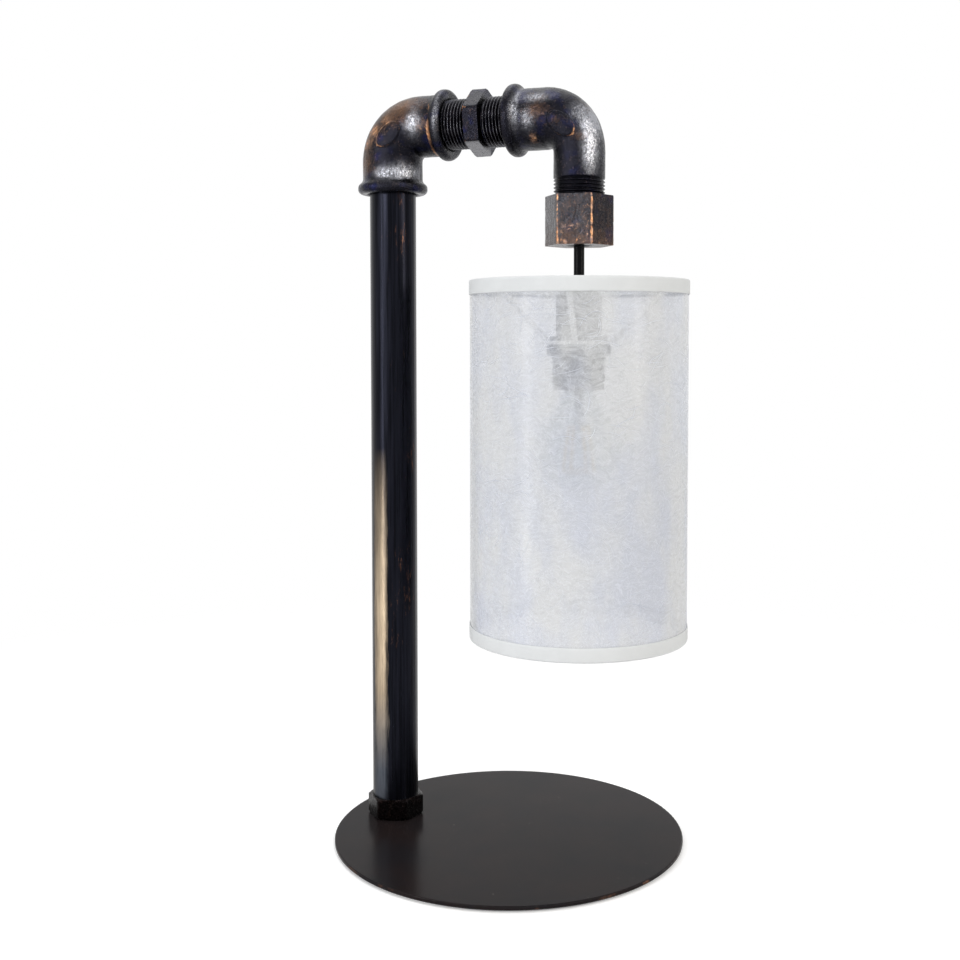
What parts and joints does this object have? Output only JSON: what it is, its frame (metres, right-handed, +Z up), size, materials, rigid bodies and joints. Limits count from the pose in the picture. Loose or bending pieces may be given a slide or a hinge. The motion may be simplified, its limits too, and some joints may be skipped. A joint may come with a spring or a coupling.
{
  "type": "pipe table lamp",
  "caption": "Table lamp made of a round base, an upright tube and threaded pipe fittings, with a drum shade hanging on a short cord.",
  "frame": {"origin": "centre of the round base, on the surface that the lamp stands on", "axes": "+Z up, +X along the arm from the tube to the hanging shade"},
  "size_m": [0.1888, 0.186, 0.4],
  "materials": {
    "patinated_iron": "oil-blacked cast iron, rubbed through to a copper tone",
    "rubbed_iron": "blacked metal rubbed back to copper on its faces and corners",
    "foot_iron": "blacked metal",
    "tube_black": "gloss blue-black lacquer",
    "base_bronze": "satin brown-black lacquer",
    "felt_black": "pressed felt",
    "bright_steel": "zinc-plated steel",
    "rubber_black": "soft moulded rubber",
    "cord_black": "smooth flexible sheath",
    "nylon_black": "moulded nylon",
    "holder_black": "moulded heat-proof plastic",
    "porcelain": "glazed ceramic",
    "contact_brass": "rolled brass",
    "core_brown": "wire insulation",
    "core_blue": "wire insulation",
    "wire_white": "white powder coat",
    "shade_fibre": "translucent non-woven fibre on a clear backing",
    "trim_tape": "smooth white tape",
    "bulb_metal": "rolled nickel-plated cap",
    "bulb_black": "black glass insulator",
    "clear_glass": "clear blown glass",
    "filament_yellow": "phosphor-coated rods"
  },
  "bodies": {
    "stand": {"base_plate": "base_bronze", "base_felt": "felt_black", "foot_screws": "bright_steel", "foot_insert": "bright_steel", "foot_nut": "foot_iron", "stem_tube": "tube_black", "cable_grommet": "rubber_black", "stem_adaptor": "bright_steel", "lower_elbow": "patinated_iron", "hex_nipple": "patinated_iron", "street_elbow": "patinated_iron", "hex_cap": "rubbed_iron", "cap_bush": "nylon_black", "cord_clamp": "nylon_black", "clamp_screws": "bright_steel", "lead_inside": "cord_black"},
    "cord_bend": {"cord_upper": "cord_black"},
    "cord_drop": {"cord_lower": "cord_black"},
    "pendant": {"cord_grip": "nylon_black", "grip_screw": "nylon_black", "lead_end": "cord_black", "live_core": "core_brown", "neutral_core": "core_blue", "holder_cover": "holder_black", "holder_insert": "porcelain", "terminal_screws": "bright_steel", "centre_contact": "contact_brass", "side_contact": "contact_brass", "screw_sleeve": "contact_brass", "holder_skirt": "holder_black", "shade_ring": "holder_black", "shade_spider": "wire_white", "bottom_wire_ring": "wire_white", "shade_skin": "shade_fibre", "top_trim": "trim_tape", "bottom_trim": "trim_tape"},
    "bulb_tip": {"bulb_contact": "contact_brass"},
    "bulb": {"bulb_shell": "bulb_metal", "bulb_insulator": "bulb_black", "bulb_glass": "clear_glass", "bulb_stem": "clear_glass", "bulb_filaments": "filament_yellow"}
  },
  "joints": [
    {"name": "swing_along_arm", "type": "hinge", "parent": "stand", "child": "cord_bend", "pos_m": [0.039, 0, 0.3167], "axis": [0, -1, 0], "range_deg": [-10, 30]},
    {"name": "swing_across_arm", "type": "hinge", "parent": "cord_bend", "child": "cord_drop", "pos_m": [0.039, 0, 0.3062], "axis": [1, 0, 0], "range_deg": [-30, 30]},
    {"name": "shade_twist", "type": "hinge", "parent": "cord_drop", "child": "pendant", "pos_m": [0.039, 0, 0.3062], "axis": [0, 0, 1], "range_deg": [-60, 60], "stiffness_Nm_per_rad": 0.02},
    {"name": "bulb_travel", "type": "slide", "parent": "pendant", "child": "bulb_tip", "axis": [0, 0, -1], "range_m": [0, 0.0142]},
    {"name": "bulb_turn", "type": "hinge", "parent": "bulb_tip", "child": "bulb", "pos_m": [0.039, 0, 0.25], "axis": [0, 0, -1], "range_deg": [0, 1800]}
  ],
  "couplings": [
    {"joint": "bulb_travel", "follows": "bulb_turn", "m_per_rad": 0.00044882}
  ]
}
